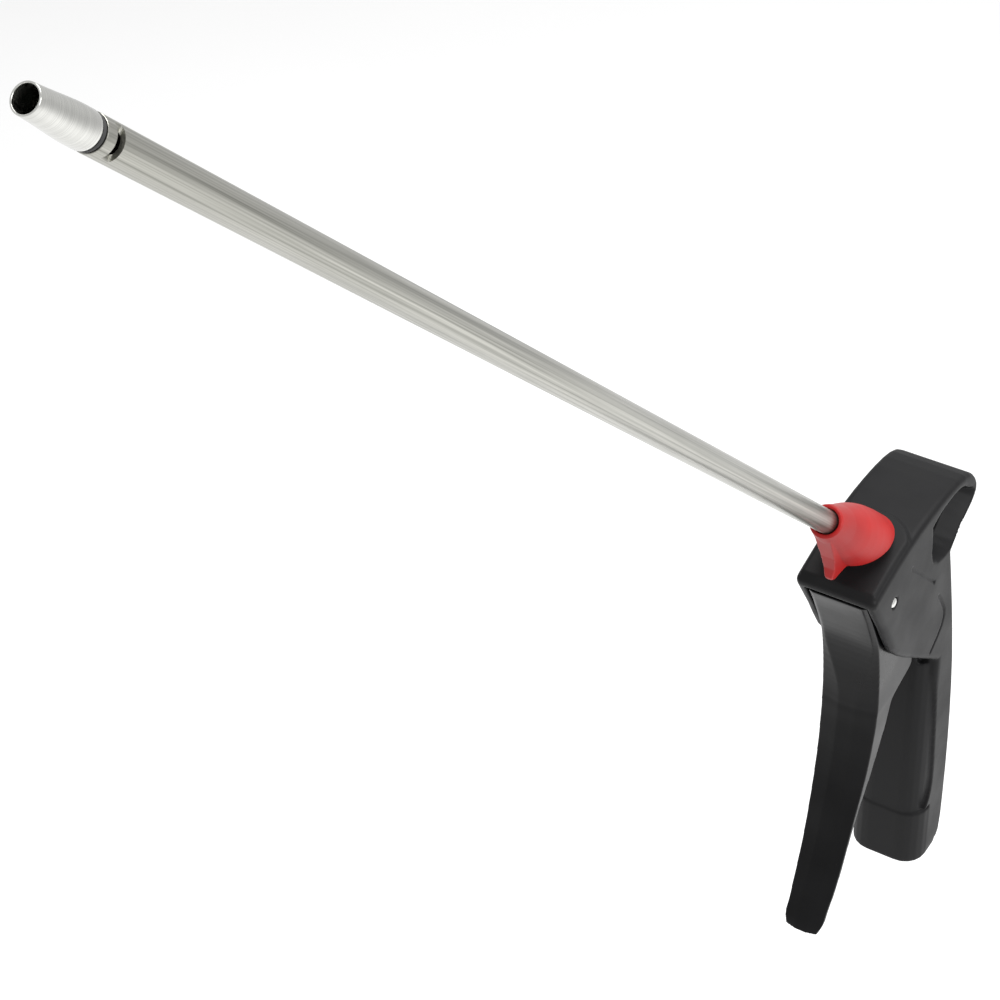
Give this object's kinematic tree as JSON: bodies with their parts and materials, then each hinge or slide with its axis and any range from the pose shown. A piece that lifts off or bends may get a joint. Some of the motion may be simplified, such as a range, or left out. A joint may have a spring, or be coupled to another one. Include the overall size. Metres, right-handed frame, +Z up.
{
  "type": "compressed-air blow gun",
  "caption": "Hand-held compressed-air blow gun with a squeeze lever, hanging hook, red push-in release collar and a long straight metal nozzle with side air slots.",
  "frame": {"origin": "centre of the air inlet's mouth, on the bottom face of the grip", "axes": "+Z up along the grip, +X forward to the nozzle's side, +Y to the gun's left; the gun is symmetric about XZ"},
  "size_m": [0.4279, 0.0304, 0.5519],
  "materials": {
    "body_black": "moulded black plastic with a fine satin grain, slightly polished on the edges",
    "lever_black": "smooth black plastic, semi-gloss",
    "collar_red": "satin red plastic",
    "stainless_tube": "stainless steel brushed lengthwise",
    "stainless_turned": "bright turned stainless steel",
    "spring_steel": "drawn spring wire",
    "brass": "machined brass",
    "seal_black": "black nitrile rubber",
    "white_plastic": "natural white plastic"
  },
  "bodies": {
    "body": {"body_casing": "body_black", "pivot_pin": "stainless_turned", "gland_nut": "brass", "plunger_o_ring": "seal_black", "seat_bush": "brass", "seat_o_ring": "seal_black", "inlet_insert": "brass", "inlet_strainer": "stainless_turned", "socket_liner": "brass", "tube_o_ring": "seal_black", "support_ring": "white_plastic", "grab_ring": "stainless_turned", "valve_spring": "spring_steel"},
    "lever": {"trigger_lever": "lever_black"},
    "plunger": {"valve_plunger": "stainless_turned", "poppet_seal": "seal_black"},
    "collar": {"release_collar": "collar_red"},
    "nozzle": {"nozzle_tube": "stainless_tube", "jet_insert": "stainless_turned", "tip_ring": "seal_black", "nozzle_tip": "stainless_turned"}
  },
  "joints": [
    {"name": "lever_swing", "type": "hinge", "parent": "body", "child": "lever", "pos_m": [0.0532, 0, 0.1689], "axis": [0, 1, 0], "range_deg": [0, 10], "stiffness_Nm_per_rad": 0.3, "springref_deg": -5.73},
    {"name": "plunger_slide", "type": "slide", "parent": "body", "child": "plunger", "axis": [-1, 0, 0], "range_m": [0, 0.0037], "deforming": ["valve_spring"]},
    {"name": "collar_press", "type": "slide", "parent": "body", "child": "collar", "axis": [-0.7071, 0, -0.7071], "range_m": [0, 0.0015], "stiffness_N_per_m": 800, "springref_m": -0.0005},
    {"name": "nozzle_turn", "type": "hinge", "parent": "body", "child": "nozzle", "pos_m": [0.08, 0, 0.218], "axis": [0.7071, 0, 0.7071], "continuous": true}
  ],
  "couplings": [
    {"joint": "plunger_slide", "follows": "lever_swing", "m_per_rad": 0.0209}
  ]
}
